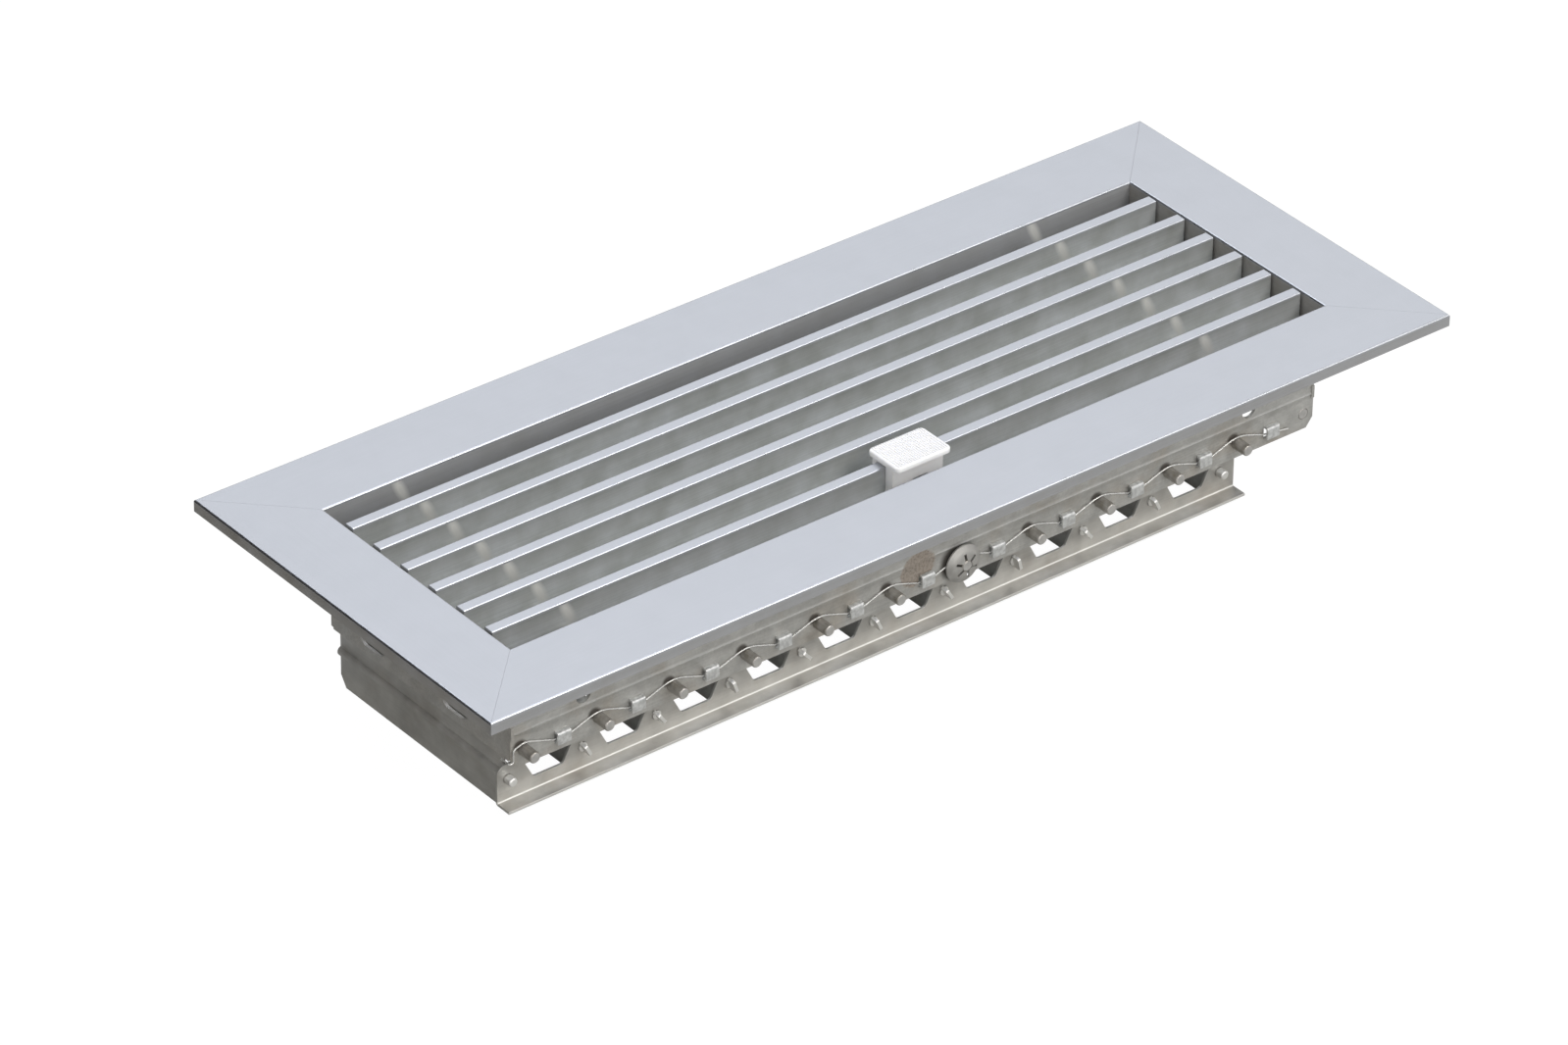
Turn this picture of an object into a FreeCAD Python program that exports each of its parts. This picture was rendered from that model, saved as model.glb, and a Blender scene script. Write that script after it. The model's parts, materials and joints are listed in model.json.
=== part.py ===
# Floor register: a mitred aluminium frame with six fixed bars, and under it a
# parallel damper whose eleven flaps are joined by a link bar and held by a spring wire.
# X runs along the register, Y across it, and Z points up. The flap edges stand on Z = 0,
# and the frame's face is at the top.
import FreeCAD, Part
import math
import os

from FreeCAD import Vector

# Face frame, an aluminium extrusion cut into four mitred lengths
opening_length = 289.0
opening_width = 85.7
border = 25.5
face_thickness = 1.6
lip_height = 3.8
lip_thickness = 1.6
face_edge_radius = 0.6
collar_depth = 22.0
collar_thickness = 1.5
mitre_gap = 0.10

# Slot under the face that takes the corner keys
key_slot_start = 6.0
key_width = 12.0
key_thickness = 1.1
key_leg = 36.0
key_corner_radius = 1.0
key_clearance = 0.05
slot_wall = 1.0
slot_foot = 1.6
slot_above_lip = 0.2

# Bars and the two notched cross supports under them
bar_count = 6
bar_thickness = 3.6
bar_depth = 12.7
bar_edge_radius = 0.4
bar_end_gap = 0.8
support_insets = (26.2, 35.9)
support_thickness = 2.0
support_grip = 4.0
support_below = 3.0
support_clearance = 0.05

# Damper box, folded from thin steel sheet
box_end_step = 0.8
box_side_step = 1.45
box_sheet = 1.0
rail_below_pivot = 5.1
box_lap = 5.8
box_joggle = 1.2
box_corner_chamfer = (2.3, 3.0)
bead_above_pivot = 5.9
bead_height = 0.2
bead_width = 1.0
end_plate_above_rail = 2.3
end_window = (12.5, 9.0)
end_window_round = 3.5
end_window_margin = 2.5
end_window_places = (-16.1, 22.0)
tongue_height = 4.0
tongue_below_collar = 5.2
tongue_proud = 0.4
mount_hole_inset = 24.7
mount_hole_radius = 2.5
mount_hole_below_collar = 4.4

# Row of pivots: eleven flaps and a tie rod that the last flap closes on
left_flap_count = 6
right_flap_count = 4
first_pivot_inset = 4.4
tie_rod_inset = 3.6
pivot_depth = 35.7
rod_radius = 1.75
rod_running_clearance = 0.05
rod_out = 5.5
driven_rod_out = 3.2
rod_far_out = 1.6
rod_chamfer = 0.3

# Flap: a sheet rolled round its rod, with a pressed bead at the height of the link
flap_sheet = 0.8
flap_drop = 21.7
flap_bead_drop = 10.4
flap_bead_out = 1.1
flap_bead_half_width = 1.5
flap_roll_end = 200.0
flap_corner_chamfer = (2.4, 3.5)
flap_near_gap = 0.7
flap_far_gap = 0.6
flap_travel = 85.0

# Link bar: an angle with a lobe for each flap's pin
link_sheet = 0.8
link_setback = 3.4
link_below_pin = 7.7
link_flange = 6.1
link_bend_radius = 1.0
lobe_shift = 1.1
lobe_end_half = 4.6
lobe_end_round = 2.6
lobe_above_pin = 4.7
lobe_top_half = 3.6
lobe_valley_half = 7.7
lobe_round = 1.6
valley_round = 1.4
valley_below_pin = 3.0
link_pin_drop = 11.2
link_pin_radius = 1.4
link_pin_clearance = 0.05
link_pin_root = 2.5
link_leaf = (4.2, 1.0, 2.6)
link_leaf_round = 0.7
link_leaf_gap = 0.5
link_nub = 2.4
link_nub_round = 0.6
link_leaf_turns = (0, 62, 55, 70, 48, 66, 58, 75, 52, 64, 0)

# Lanced hooks on the near rail and the friction wire woven under them
hook_width = 4.5
hook_above_pivot = 1.6
hook_reach = 1.8
hook_lip = 3.9
hook_sheet = 0.7
hook_outer_round = 1.0
hook_inner_round = 0.25
hook_window_height = 3.7
wire_radius = 0.25
wire_rod_gap = 0.1
wire_arch_radius = 10.0
wire_low_below_pivot = 0.75
wire_bend_radius = 1.5
wire_hook_margin = 0.6
wire_end_past_hook = 3.8
wire_end_drop = 1.6
wire_tail_drop = 2.8
wire_tail_rise = 4.2
wire_tail_inset = 0.6
wire_tail_reach = 3.2
wire_end_plate_gap = 0.5

# Push-on nut and crank on the driven rod
nut_radius = 6.0
nut_sheet = 0.5
nut_height = 1.7
nut_wire_gap = 0.1
nut_slit = 0.8
nut_slit_count = 6
nut_slit_reach = 3.9
nut_slit_turn = 21.0
nut_shoulder = (4.3, 1.35)
nut_dome_round = 3.0
crank_radius = 13.0
crank_sheet = 1.5
crank_hub_radius = 4.0
crank_tip_radius = 2.6
crank_rail_gap = 0.4
crank_pin_radius = 1.4
crank_pin_end_gap = 0.5

# Sliding knob that straddles the bar nearest the front
knob_from_pivot = 12.7
knob_cap = (19.5, 13.5, 1.5)
knob_cap_top = 2.8
knob_cap_shift = -1.5
knob_corner_radius = 1.6
knob_edge_radius = 0.5
knob_rib_count = 22
knob_rib_field_margin = 0.75
knob_rib_depth = 0.35
knob_saddle_inset = 0.5
knob_groove = 0.35
knob_leg_width = 17.8
knob_front_leg = 3.3
knob_back_leg = 1.8
knob_back_drop = 6.5
knob_bar_gap = 0.2
knob_window = (5.4, 4.4)
knob_window_top = 4.6
knob_window_shift = 0.9
knob_under_gap = 0.35
knob_lip_thickness = 1.8
knob_lip_reach = 2.6
knob_foot_drop = 4.0
foot_past_slot = 3.4
foot_below_pin = 2.6
foot_round = 1.0
fork_slot_round = 1.7
fork_pin_clearance = 0.5
fork_above_pin = 1.6

# Rivets that hold the damper box in the collar
rivet_radius = 1.6
rivet_head_radius = 3.2
rivet_head_height = 1.1
rivet_bulb_radius = 2.3
rivet_bulb_height = 1.3
rivet_bulb_round = 0.5
rivet_above_collar_edge = 2.9
rivet_end_inset = 68.3

# How far a cut runs past the faces it opens
cut_past = 3.0

# Worked out from the sizes above
frame_length = opening_length + 2 * border
frame_width = opening_width + 2 * border
pivot_z = flap_drop
face_z = pivot_z + pivot_depth
half_long = opening_length / 2
half_wide = opening_width / 2
bar_pitch = (opening_width + bar_thickness) / (bar_count + 1)
collar_z = face_z - collar_depth
box_bottom = pivot_z - rail_below_pivot
end_plate_bottom = box_bottom + end_plate_above_rail
link_pin_z = pivot_z - link_pin_drop
box_x = half_long - box_end_step
box_y = half_wide - box_side_step
rail_inner_y = box_y - box_sheet
plate_inner_x = box_x - box_sheet
link_outer_y = -(rail_inner_y - link_setback)
link_inner_y = link_outer_y + link_sheet
flap_near_y = link_inner_y + flap_near_gap
flap_far_y = rail_inner_y - flap_far_gap
roll_outer = rod_radius + flap_sheet
flap_plane = -(rod_radius + flap_sheet / 2)
flap_count = left_flap_count + 1 + right_flap_count
tie_x = box_x - tie_rod_inset
first_pivot = first_pivot_inset - box_x
pivot_pitch = (tie_x - first_pivot) / flap_count
pivots = [first_pivot + pivot_pitch * k for k in range(flap_count)]
driven_x = pivots[left_flap_count]
knob_place = driven_x - knob_from_pivot
mount_hole_x = box_x - mount_hole_inset
mount_hole_z = collar_z - mount_hole_below_collar
wire_y = -box_y - (hook_reach - hook_sheet) / 2
crank_rest = math.radians(flap_travel / 2)
crank_pin_x = driven_x + crank_radius * math.sin(crank_rest)
front_bar_y = -half_wide + bar_pitch - bar_thickness / 2


def place_x(x):
    """Points given as (y, z) on the plane at this x."""
    return lambda u, v: Vector(x, u, v)


def place_y(y):
    """Points given as (x, z) on the plane at this y."""
    return lambda u, v: Vector(u, y, v)


def place_z(z):
    """Points given as (x, y) on the plane at this z."""
    return lambda u, v: Vector(u, v, z)


def rounded_wire(points, place):
    """A closed wire through points (u, v) or (u, v, radius), with an arc at each radius."""
    corners = []
    count = len(points)
    for i, point in enumerate(points):
        here = Vector(point[0], point[1], 0)
        radius = point[2] if len(point) > 2 else 0.0
        if radius == 0.0:
            corners.append((here,))
            continue
        back = Vector(points[i - 1][0], points[i - 1][1], 0).sub(here).normalize()
        on = Vector(points[(i + 1) % count][0], points[(i + 1) % count][1], 0).sub(here).normalize()
        half = back.getAngle(on) / 2
        reach = radius / math.tan(half)
        middle = back.add(on).normalize()
        centre = here.add(middle.multiply(radius / math.sin(half)))
        toward = here.sub(centre).normalize()
        start = here.add(back.multiply(reach))
        end = here.add(on.multiply(reach))
        corners.append((start, centre.add(toward.multiply(radius)), end))
    edges = []
    for i, corner in enumerate(corners):
        if len(corner) == 3:
            edges.append(Part.Arc(*[place(p.x, p.y) for p in corner]).toShape())
        last = corner[-1]
        after = corners[(i + 1) % count][0]
        if last.sub(after).Length > 1e-7:
            edges.append(Part.LineSegment(place(last.x, last.y), place(after.x, after.y)).toShape())
    return Part.Wire(edges)


def along_x(points, x0, x1):
    """A bar whose section is given as (y, z[, radius]) points."""
    return Part.Face(rounded_wire(points, place_x(x0))).extrude(Vector(x1 - x0, 0, 0))


def along_y(points, y0, y1):
    """A bar whose section is given as (x, z[, radius]) points."""
    return Part.Face(rounded_wire(points, place_y(y0))).extrude(Vector(0, y1 - y0, 0))


def along_z(points, z0, z1):
    """A plate whose outline is given as (x, y[, radius]) points."""
    return Part.Face(rounded_wire(points, place_z(z0))).extrude(Vector(0, 0, z1 - z0))


def block(x0, x1, y0, y1, z0, z1):
    """A box between two corners, given in any order."""
    low = Vector(min(x0, x1), min(y0, y1), min(z0, z1))
    return Part.makeBox(abs(x1 - x0), abs(y1 - y0), abs(z1 - z0), low)


def round_y(radius, x, z, y0, y1):
    """A round bar along Y."""
    return Part.makeCylinder(radius, abs(y1 - y0), Vector(x, min(y0, y1), z), Vector(0, 1, 0))


def chamfered_rod(radius, x, z, y0, y1, chamfer):
    """A round bar along Y with both ends chamfered."""
    side = [(radius - chamfer, y0), (radius, y0 + chamfer), (radius, y1 - chamfer), (radius - chamfer, y1)]
    profile = [Vector(x + r, y, z) for r, y in [(0, y0), *side, (0, y1), (0, y0)]]
    return Part.Face(Part.makePolygon(profile)).revolve(Vector(x, 0, z), Vector(0, 1, 0), 360)


def mirror_y(shape):
    return shape.mirror(Vector(0, 0, 0), Vector(0, 1, 0))


def mirror_x(shape):
    return shape.mirror(Vector(0, 0, 0), Vector(1, 0, 0))


def turned(shape, x, z, degrees):
    """The shape turned about a Y axis through (x, z); a flap's lower edge goes towards +X."""
    copy = shape.copy()
    copy.rotate(Vector(x, 0, z), Vector(0, 1, 0), -degrees)
    return copy


# Face frame

def frame_section():
    """Section of the extrusion as (distance in from the outer edge, depth below the face)."""
    slot_end = key_slot_start + key_width + 2 * key_clearance
    slot_floor = face_thickness + key_thickness + 2 * key_clearance
    foot_floor = lip_height - slot_above_lip
    return [
        (0, lip_height),
        (0, 0, face_edge_radius),
        (border, 0, face_edge_radius),
        (border, collar_depth),
        (border - collar_thickness, collar_depth),
        (border - collar_thickness, face_thickness),
        (slot_end + slot_wall, face_thickness),
        (slot_end + slot_wall, foot_floor),
        (slot_end - slot_foot, foot_floor),
        (slot_end - slot_foot, slot_floor),
        (slot_end, slot_floor),
        (slot_end, face_thickness),
        (key_slot_start, face_thickness),
        (key_slot_start, slot_floor),
        (key_slot_start + slot_foot, slot_floor),
        (key_slot_start + slot_foot, foot_floor),
        (key_slot_start - slot_wall, foot_floor),
        (key_slot_start - slot_wall, face_thickness),
        (lip_thickness, face_thickness),
        (lip_thickness, lip_height),
    ]


def frame_side(length, width):
    """The side along X on the -Y edge of a frame of this length and width, mitred at both ends."""
    def laid(point):
        return (-width / 2 + point[0], face_z - point[1], *point[2:])
    side = along_x([laid(p) for p in frame_section()], -length / 2, length / 2)
    set_back = mitre_gap / 2 * math.sqrt(2)
    cut = [
        (-length / 2 + set_back, -width / 2),
        (length / 2 - set_back, -width / 2),
        (length / 2 - set_back - border, -width / 2 + border),
        (-length / 2 + set_back + border, -width / 2 + border),
    ]
    return side.common(along_z(cut, collar_z, face_z))


def frame_pieces():
    front = frame_side(frame_length, frame_width)
    right = frame_side(frame_width, frame_length)
    right.rotate(Vector(0, 0, 0), Vector(0, 0, 1), 90)
    return {
        "frame_front": front,
        "frame_back": mirror_y(front),
        "frame_right": right,
        "frame_left": mirror_x(right),
    }


def corner_keys():
    """Flat angle plates that slide into the slots and hold the mitres together."""
    start = key_slot_start + key_clearance
    end = start + key_width
    top = face_z - face_thickness - key_clearance
    x = -frame_length / 2
    y = -frame_width / 2
    outline = [
        (x + start, y + start, key_corner_radius),
        (x + start + key_leg, y + start),
        (x + start + key_leg, y + end),
        (x + end, y + end),
        (x + end, y + start + key_leg),
        (x + start, y + start + key_leg),
    ]
    key = along_z(outline, top - key_thickness, top)
    return {
        "corner_key_front_left": key,
        "corner_key_front_right": mirror_x(key),
        "corner_key_back_left": mirror_y(key),
        "corner_key_back_right": mirror_x(mirror_y(key)),
    }


# Bars and cross supports

def bar_centres():
    return [half_wide - bar_pitch * k + bar_thickness / 2 for k in range(1, bar_count + 1)]


def bars():
    """Six flat bars on edge, flush with the face."""
    pieces = {}
    end = half_long - bar_end_gap
    for k, y in enumerate(bar_centres(), 1):
        a = y - bar_thickness / 2
        b = y + bar_thickness / 2
        low = face_z - bar_depth
        section = [
            (a, low, bar_edge_radius),
            (b, low, bar_edge_radius),
            (b, face_z, bar_edge_radius),
            (a, face_z, bar_edge_radius),
        ]
        pieces["bar_%d" % k] = along_x(section, -end, end)
    return pieces


def cross_supports():
    """Two notched plates across the collar; each notch holds the lower edge of a bar."""
    top = face_z - bar_depth + support_grip
    low = face_z - bar_depth - support_below
    notch = bar_thickness / 2 + support_clearance
    pieces = {}
    left, right = support_insets
    for name, x in (("cross_support_left", left - half_long), ("cross_support_right", half_long - right)):
        a = x - support_thickness / 2
        b = x + support_thickness / 2
        plate = block(a, b, -half_wide, half_wide, low, top)
        for y in bar_centres():
            plate = plate.cut(block(a, b, y - notch, y + notch, face_z - bar_depth, top))
        pieces[name] = plate
    return pieces


# Damper box

def box_wall_section(outer, reach, bottom, bead=()):
    """Section of a box wall as (distance out, z): lap against the collar, joggle, bead, flat."""
    joggle = collar_z - box_joggle
    line = [(reach, collar_z + box_lap), (reach, collar_z), (outer, joggle), *bead, (outer, bottom)]
    inner = [(u - box_sheet, z) for u, z in reversed(line)]
    return line + inner


def box_corner_cuts():
    """Wedges that take the lower corners off a long rail."""
    across, up = box_corner_chamfer
    wedge = [(box_x - across, box_bottom), (box_x, box_bottom), (box_x, box_bottom + up)]
    cut = along_y(wedge, -box_y - cut_past, box_y + cut_past)
    return [cut, mirror_x(cut)]


def hook_places():
    return [x + pivot_pitch / 2 for x in pivots]


def hook(x):
    """A tab lanced from the rail and bent out and down over the wire."""
    top = pivot_z + hook_above_pivot
    out = -box_y - hook_reach
    section = [
        (-box_y, top),
        (out, top, hook_outer_round),
        (out, top - hook_lip),
        (out + hook_sheet, top - hook_lip),
        (out + hook_sheet, top - hook_sheet, hook_inner_round),
        (-box_y, top - hook_sheet),
    ]
    return along_x(section, x - hook_width / 2, x + hook_width / 2)


def damper_rails():
    """The two long walls: rod holes, mounting holes, tongue slots, and hooks on the near one."""
    middle = pivot_z + bead_above_pivot
    half = bead_width / 2
    bead = [(box_y, middle + half), (box_y + bead_height, middle), (box_y, middle - half)]
    section = box_wall_section(box_y, half_wide, box_bottom, bead)
    far = along_x(section, -box_x, box_x)
    for cut in box_corner_cuts():
        far = far.cut(cut)
    hole = rod_radius + rod_running_clearance
    y0 = rail_inner_y - cut_past
    y1 = box_y + cut_past
    for x in pivots:
        far = far.cut(round_y(hole, x, pivot_z, y0, y1))
    far = far.cut(round_y(rod_radius, tie_x, pivot_z, y0, y1))
    slot_top = collar_z - tongue_below_collar
    for side in (-1, 1):
        far = far.cut(round_y(mount_hole_radius, side * mount_hole_x, mount_hole_z, y0, y1))
        slot = block(side * plate_inner_x, side * box_x, y0, y1, slot_top - tongue_height, slot_top)
        far = far.cut(slot)
    near = mirror_y(far)
    window_top = pivot_z + hook_above_pivot - hook_sheet
    for x in hook_places():
        a = x - hook_width / 2
        b = x + hook_width / 2
        near = near.cut(block(a, b, -y1, -y0, window_top - hook_window_height, window_top))
        near = near.fuse(hook(x))
    return {"damper_rail_near": near.removeSplitter(), "damper_rail_far": far}


def end_plates():
    """The two short walls, with tongues that stand through the rails, and two rounded windows."""
    section = box_wall_section(box_x, half_long, end_plate_bottom)
    plate = along_y(section, -rail_inner_y, rail_inner_y)
    z = collar_z - tongue_below_collar
    tip = box_y + tongue_proud
    for side in (-1, 1):
        tongue = block(plate_inner_x, box_x, side * rail_inner_y, side * tip, z - tongue_height, z)
        plate = plate.fuse(tongue)
    wide, tall = end_window
    low = end_plate_bottom + end_window_margin
    r = end_window_round
    for y in end_window_places:
        a = y - wide / 2
        b = y + wide / 2
        window = [(a, low, r), (b, low, r), (b, low + tall, r), (a, low + tall, r)]
        plate = plate.cut(along_x(window, plate_inner_x - cut_past, box_x + cut_past))
    plate = plate.removeSplitter()
    return {"end_plate_right": plate, "end_plate_left": mirror_x(plate)}


def tie_rod():
    """The twelfth rod, riveted flush in both rails; the last flap closes towards it."""
    return chamfered_rod(rod_radius, tie_x, pivot_z, -box_y, box_y, 0.2)


def bent_wire(points, radius, bends):
    """A round wire along straight runs joined by tangent arcs; there is a bend for each inner point."""
    edges = []
    last = points[0]
    for before, corner, after, bend in zip(points, points[1:], points[2:], bends):
        back = before.sub(corner).normalize()
        on = after.sub(corner).normalize()
        half = back.getAngle(on) / 2
        reach = bend / math.tan(half)
        room = 0.45 * min(before.sub(corner).Length, after.sub(corner).Length)
        turn = bend
        if reach > room:
            turn = room * math.tan(half)
            reach = room
        start = corner.add(Vector(back).multiply(reach))
        end = corner.add(Vector(on).multiply(reach))
        middle = Vector(back.add(on)).normalize()
        centre = corner.add(Vector(middle).multiply(turn / math.sin(half)))
        top = centre.sub(Vector(middle).multiply(turn))
        edges.append(Part.LineSegment(last, start).toShape())
        edges.append(Part.Arc(start, top, end).toShape())
        last = end
    edges.append(Part.LineSegment(last, points[-1]).toShape())
    path = Part.Wire(edges)
    first = points[1].sub(points[0])
    ring = Part.Wire(Part.makeCircle(radius, points[0], first))
    return path.makePipeShell([ring], True, False)


def arch_corner(top, low, reach):
    """Height of the corner whose arc touches `top`, on runs that start at `low`, `reach` to each side."""
    centre_drop = low - (top - wire_arch_radius)
    lift = math.asin(wire_arch_radius / math.hypot(reach, centre_drop))
    return low + reach * math.tan(lift - math.atan2(centre_drop, reach))


def friction_wire():
    """Spring wire over each rod and under each hook, with its tail bent round the left corner."""
    y = wire_y
    low = pivot_z - wire_low_below_pivot
    beside_hook = hook_width / 2 + wire_hook_margin
    top = pivot_z + rod_radius + wire_rod_gap + wire_radius
    high = arch_corner(top, low, pivot_pitch / 2 - beside_hook)
    tail_x = -box_x + wire_tail_inset
    tail_z = pivot_z - wire_tail_drop
    outside_x = -box_x - wire_end_plate_gap - wire_radius
    points = [
        Vector(outside_x, -box_y + wire_tail_reach, tail_z),
        Vector(outside_x, y, tail_z),
        Vector(tail_x, y, tail_z),
        Vector(tail_x, y, tail_z + wire_tail_rise),
    ]
    bends = [wire_bend_radius] * 3
    for rod_x, hook_x in zip(pivots, hook_places()):
        points.append(Vector(rod_x, y, high))
        points.append(Vector(hook_x - beside_hook, y, low))
        points.append(Vector(hook_x + beside_hook, y, low))
        bends += [wire_arch_radius, wire_bend_radius, wire_bend_radius]
    end_x = hook_places()[-1] + beside_hook + wire_end_past_hook
    points[-1] = Vector(end_x, y, low - wire_end_drop)
    return bent_wire(points, wire_radius, bends)


def rivet_places():
    return rivet_end_inset - half_long, half_long - rivet_end_inset


def collar_rivets():
    """Blind rivets through the collar and the box lap, domed outside and bulbed inside."""
    z = collar_z + rivet_above_collar_edge
    skins = collar_thickness + box_sheet
    ball = (rivet_head_radius ** 2 + rivet_head_height ** 2) / (2 * rivet_head_height)
    head = Part.makeSphere(ball, Vector(0, 0, rivet_head_height - ball))
    head = head.common(Part.makeCylinder(rivet_head_radius + 1, rivet_head_height + 1))
    stem = Part.makeCylinder(rivet_radius, skins, Vector(0, 0, -skins))
    tail = -skins - rivet_bulb_height
    bulb = Part.makeCylinder(rivet_bulb_radius, rivet_bulb_height, Vector(0, 0, tail))
    bulb = bulb.makeFillet(rivet_bulb_round, [e for e in bulb.Edges if abs(e.BoundBox.ZMax - tail) < 1e-6])
    rivet = head.fuse([stem, bulb]).removeSplitter()
    made = []
    for x in rivet_places():
        for side in (-1, 1):
            one = rivet.copy()
            one.rotate(Vector(0, 0, 0), Vector(1, 0, 0), -90 * side)
            one.translate(Vector(x, side * (half_wide + collar_thickness), z))
            made.append(one)
    for side in (-1, 1):
        one = rivet.copy()
        one.rotate(Vector(0, 0, 0), Vector(0, 1, 0), 90 * side)
        one.translate(Vector(side * (half_long + collar_thickness), 0, z))
        made.append(one)
    return Part.Compound(made)


def rivet_holes():
    """Clearance-free holes for the rivet stems, cut from the collar and the box."""
    z = collar_z + rivet_above_collar_edge
    cuts = []
    for x in rivet_places():
        cuts.append(round_y(rivet_radius, x, z, -half_wide - cut_past, half_wide + cut_past))
    start = half_long + cut_past
    cuts.append(Part.makeCylinder(rivet_radius, 2 * start, Vector(-start, 0, z), Vector(1, 0, 0)))
    return cuts


# Flaps

def flap_outline(x):
    """Section of a flap: rolled eye, bead and plain lower edge, as one sheet."""
    outer_x = x - roll_outer
    inner_x = x - rod_radius
    bottom = 0
    bead = pivot_z - flap_bead_drop
    end = math.radians(flap_roll_end)
    at = place_y(flap_near_y)

    def polar(radius, angle):
        return at(x - radius * math.cos(angle), pivot_z + radius * math.sin(angle))

    def line(u0, v0, u1, v1):
        return Part.LineSegment(at(u0, v0), at(u1, v1)).toShape()

    def bulge(u, half, out, upward):
        ends = [at(u, bead - half), at(u, bead + half)]
        if not upward:
            ends.reverse()
        return Part.Arc(ends[0], at(u - out, bead), ends[1]).toShape()

    inner_half = flap_bead_half_width - flap_sheet / 2
    inner_out = flap_bead_out - flap_sheet / 2
    edges = [
        line(outer_x, bottom, outer_x, bead - flap_bead_half_width),
        bulge(outer_x, flap_bead_half_width, flap_bead_out, True),
        line(outer_x, bead + flap_bead_half_width, outer_x, pivot_z),
        Part.Arc(polar(roll_outer, 0), polar(roll_outer, end / 2), polar(roll_outer, end)).toShape(),
        Part.LineSegment(polar(roll_outer, end), polar(rod_radius, end)).toShape(),
        Part.Arc(polar(rod_radius, end), polar(rod_radius, end / 2), polar(rod_radius, 0)).toShape(),
        line(inner_x, pivot_z, inner_x, bead + inner_half),
        bulge(inner_x, inner_half, inner_out, False),
        line(inner_x, bead - inner_half, inner_x, bottom),
        line(inner_x, bottom, outer_x, bottom),
    ]
    return Part.Wire(edges)


def flap_pin(x, turn):
    """Round pin coined on the flap's near end, its tip flattened and twisted to hold the link."""
    pin_x = x + flap_plane
    face = link_outer_y - link_leaf_gap
    pin = round_y(link_pin_radius, pin_x, link_pin_z, face, flap_near_y + link_pin_root)
    width, thickness, length = link_leaf
    if turn:
        leaf = along_z([
            (pin_x - width / 2, face),
            (pin_x + width / 2, face),
            (pin_x + width / 2, face - length, link_leaf_round),
            (pin_x - width / 2, face - length, link_leaf_round),
        ], link_pin_z - thickness / 2, link_pin_z + thickness / 2)
        leaf.rotate(Vector(pin_x, 0, link_pin_z), Vector(0, 1, 0), turn)
        return pin.fuse(leaf)
    nub = round_y(link_pin_radius, pin_x, link_pin_z, face - link_nub, face)
    rim = [e for e in nub.Edges if abs(e.BoundBox.YMax - (face - link_nub)) < 1e-6]
    return pin.fuse(nub.makeFillet(link_nub_round, rim))


def flap(x, turn):
    """One flap with its pin; the lower corners are clipped."""
    sheet = Part.Face(flap_outline(x)).extrude(Vector(0, flap_far_y - flap_near_y, 0))
    across, up = flap_corner_chamfer
    for y, way in ((flap_near_y, -1), (flap_far_y, 1)):
        wedge = [(y - way * across, 0), (y, 0), (y, up)]
        sheet = sheet.cut(along_x(wedge, x - roll_outer - cut_past, x + cut_past))
    return sheet.fuse(flap_pin(x, turn)).removeSplitter()


def rod(x, out):
    """The rod that a flap is rolled on; it turns in the rails, and the wire bears on it outside."""
    return chamfered_rod(rod_radius, x, pivot_z, -box_y - out, box_y + rod_far_out, rod_chamfer)


def push_nut():
    """Domed push-on nut: a thin dish with prongs between radial slits, gripping the rod."""
    y = wire_y - wire_radius - nut_wire_gap
    centre = Vector(driven_x, 0, pivot_z)
    axis = Vector(0, 1, 0)
    section = [
        (nut_radius, 0),
        (*nut_shoulder, nut_dome_round),
        (rod_radius, nut_height),
        (rod_radius, nut_height + nut_sheet),
        (nut_shoulder[0], nut_shoulder[1] + nut_sheet, nut_dome_round + nut_sheet),
        (nut_radius, nut_sheet),
    ]

    def place(radius, height):
        return Vector(driven_x + radius, y - height, pivot_z)

    nut = Part.Face(rounded_wire(section, place)).revolve(centre, axis, 360)
    low = pivot_z - nut_slit / 2
    for k in range(nut_slit_count):
        slit = block(driven_x, driven_x + nut_slit_reach, y - cut_past, y, low, low + nut_slit)
        slit.rotate(centre, axis, 360 / nut_slit_count * k + nut_slit_turn)
        nut = nut.cut(slit)
    return nut


def crank():
    """Arm on the driven rod, with the pin that sits in the knob's fork."""
    outer = -rail_inner_y + crank_rail_gap
    inner = outer + crank_sheet
    tip_z = pivot_z + crank_radius
    hub = round_y(crank_hub_radius, driven_x, pivot_z, outer, inner)
    tip = round_y(crank_tip_radius, driven_x, tip_z, outer, inner)
    lean = math.asin((crank_hub_radius - crank_tip_radius) / crank_radius)
    c = math.cos(lean)
    s = math.sin(lean)
    arm = along_y([
        (driven_x - crank_hub_radius * c, pivot_z + crank_hub_radius * s),
        (driven_x + crank_hub_radius * c, pivot_z + crank_hub_radius * s),
        (driven_x + crank_tip_radius * c, tip_z + crank_tip_radius * s),
        (driven_x - crank_tip_radius * c, tip_z + crank_tip_radius * s),
    ], outer, inner)
    pin_end = knob_leg_planes()[1] - crank_pin_end_gap
    pin = round_y(crank_pin_radius, driven_x, tip_z, outer, pin_end)
    whole = hub.fuse([arm, tip, pin]).cut(round_y(rod_radius, driven_x, pivot_z, outer, inner))
    return turned(whole.removeSplitter(), driven_x, pivot_z, -flap_travel / 2)


# Link bar

def lobe_centres():
    return [x + flap_plane + lobe_shift for x in pivots]


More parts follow.
